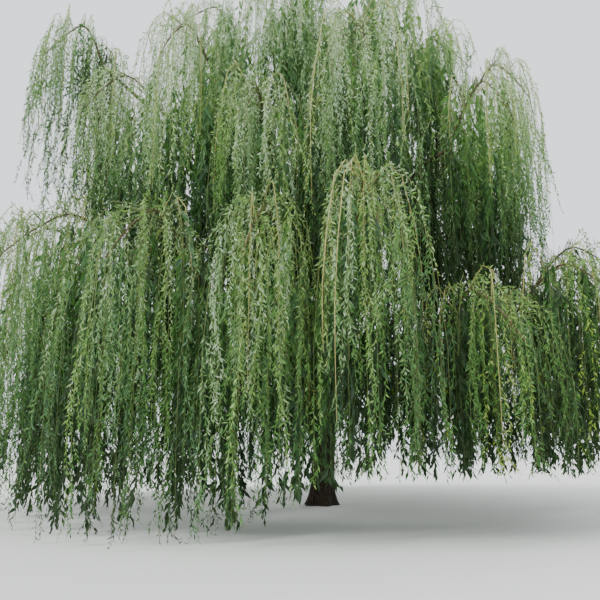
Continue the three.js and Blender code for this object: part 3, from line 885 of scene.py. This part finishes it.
def greenerSprigs(grown, rng):
    # the purer greens are commoner low down and to the right
    x, z = np.array([s["path"][4][[0, 2]] for s in grown["sprigs"]]).T
    return rng.uniform(0, 1, len(x)) < np.clip(0.5 + 0.05 * x - 0.035 * (z - 5), 0.05, 0.95)


def leavesOfMass(grown, rng):
    # the leaves of one mass, and a tint for each of their faces
    owners, strands = grown["owners"], grown["strands"]
    tint = strandTints(grown, rng)
    special = specialTints(grown, rng)
    greener = greenerSprigs(grown, rng)
    inner = grown["shaded"][owners]
    shadeLeaf = strayInnerLeaf if isStray(grown["mass"]) else innerLeaf
    parts, tints = [], []
    for chosen, kind in ((~inner, outerLeaf), (inner, shadeLeaf)):
        points, faces, owner = leavesOn(strands[chosen], kind, rng)
        parts.append((points, faces))
        score = tint[chosen][owner] + rng.normal(0, tinting["leaf"], len(owner))
        index = tintIndex(score, greener[owners[chosen][owner]])
        own = special[chosen][owner]
        index = np.where((own >= 0) & (rng.uniform(0, 1, len(owner)) < tinting["ownTint"]), own, index)
        tints.append(np.repeat(index, 2))
    # along the arching part of the outer sprigs
    arcs = np.array([s["path"][:5] for s in grown["sprigs"] if not s["shaded"]])
    points, faces, owner = leavesOn(arcs, crestLeaf, rng, 0.2)
    parts.append((points, faces))
    # painted light: these leaves take the paleness of their height and of a mass's top
    crest = tinting["base"] + tinting["height"] * arcs[:, 3, 2] / crown["height"] + tinting["crest"] * 0.5
    score = crest[owner] + rng.normal(0, tinting["leaf"], len(owner))
    tints.append(np.repeat(tintIndex(score, greener[~grown["shaded"]][owner]), 2))
    return parts, tints


def twigsOfMass(grown):
    # the strands, sprigs and stem of one mass, and a rind for each of their faces
    sprigs, strands, stem = grown["sprigs"], grown["strands"], grown["stem"][None]
    thin = np.linspace(*twigRadii["strand"], strands.shape[1])[None] * np.ones((len(strands), 1))
    paths = np.array([s["path"] for s in sprigs])
    taper = np.array([s["radius"] for s in sprigs])[:, None] * np.linspace(1, 0.3, paths.shape[1])
    thick = np.linspace(*twigRadii["stem"], stem.shape[1])[None]
    parts = [tubes(strands, thin, 3), tubes(paths, taper, 3), tubes(stem, thick, 8)]
    kinds = [rindNames.index("young" if s["young"] else "green") for s in sprigs]
    rinds = [np.full(len(parts[0][1]), rindNames.index("green")),
             tubeOwners(kinds, paths.shape[1], 3),
             np.full(len(parts[2][1]), rindNames.index("brown"))]
    return parts, rinds


def buildGroup(name, group):
    leafParts, leafIndex, twigParts, twigIndex = [], [], [], []
    for grown in group:
        parts, tints = leavesOfMass(grown, np.random.RandomState(1000 + grown["mass"]["seed"]))
        leafParts += parts
        leafIndex += tints
        parts, rinds = twigsOfMass(grown)
        twigParts += parts
        twigIndex += rinds
    nodes = [grown["mass"]["name"] for grown in group]
    leaves = meshPiece("leaves_" + name, *joined(leafParts), leafMaterials, np.concatenate(leafIndex))
    twigs = meshPiece("twigs_" + name, *joined(twigParts), rindMaterials, np.concatenate(twigIndex))
    for piece in (leaves, twigs):
        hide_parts(*nodes)
    return len(leaves.data.polygons), len(twigs.data.polygons)


def grouped(grownMasses, most):
    # neighbouring masses together, as long as their leaves stay under so many triangles
    groups, load = [[]], 0
    for grown in grownMasses:
        length = np.linalg.norm(np.diff(grown["strands"], axis=1), axis=2).sum()
        size = 2 * length / outerLeaf["spacing"]
        if groups[-1] and load + size > most:
            groups.append([])
            load = 0
        groups[-1].append(grown)
        load += size
    return groups


mostLeaves = 195000  # triangles of leaves in a piece
groups = grouped([growMass(mass) for mass in masses], mostLeaves)
total = 0
for i, group in enumerate(groups):
    leafCount, twigCount = buildGroup(f"{group[0]['mass']['row']['name']}_{i + 1}", group)
    total += leafCount + twigCount
    print("foliage", i + 1, "of", len(groups), ":", leafCount, "leaf and", twigCount, "twig triangles")
print("foliage in all:", total, "triangles")

# Floor, light and camera

studio = dict(floor="#CDCFCA", around="#E6EAEE", strength=1.9)
# the soft lamps come from these directions
lamps = [
    dict(name="keyLight", strength=3.4, angle=28, towards=(-0.62, -0.32, 0.72)),
    dict(name="backLight", strength=1.4, angle=20, towards=(0.55, 0.7, 0.5)),
]
# standing eye height, nearly 20 m from the trunk, looking up
view = dict(eye=(-0.57, -19.8, 1.6), pitch=11.7, lens=42)

bpy.ops.mesh.primitive_circle_add(vertices=96, radius=90, fill_type="NGON", location=(0, 0, -0.002))
floor = bpy.context.object
floor.name = "floor"
floorMaterial, tree = blankMaterial("paintedFloor")
paint = addNode(tree, "ShaderNodeBsdfPrincipled", {"Base Color": linear(studio["floor"]), "Roughness": 0.9,
                                                   "Specular IOR Level": 0.1})
addNode(tree, "ShaderNodeOutputMaterial", links={"Surface": paint.outputs[0]})
floor.data.materials.append(floorMaterial)

world = bpy.data.worlds.new("paleStudio")
world.use_nodes = True
world.node_tree.nodes["Background"].inputs[0].default_value = linear(studio["around"])
world.node_tree.nodes["Background"].inputs[1].default_value = studio["strength"]
bpy.context.scene.world = world

for lamp in lamps:
    light = bpy.data.lights.new(lamp["name"], "SUN")
    light.energy = lamp["strength"]
    light.angle = math.radians(lamp["angle"])
    lampObject = bpy.data.objects.new(lamp["name"], light)
    x, y, z = lamp["towards"]
    lampObject.rotation_euler = (math.atan2(math.hypot(x, y), z), 0, math.atan2(x, -y))
    bpy.context.scene.collection.objects.link(lampObject)

camera = bpy.data.cameras.new("camera")
camera.lens = view["lens"]
camera.sensor_width = 36
camera.clip_end = 300
cameraObject = bpy.data.objects.new("camera", camera)
cameraObject.location = view["eye"]
cameraObject.rotation_euler = (math.radians(90 + view["pitch"]), 0, 0)
bpy.context.scene.collection.objects.link(cameraObject)
bpy.context.scene.camera = cameraObject
print("floor, light and camera are set")
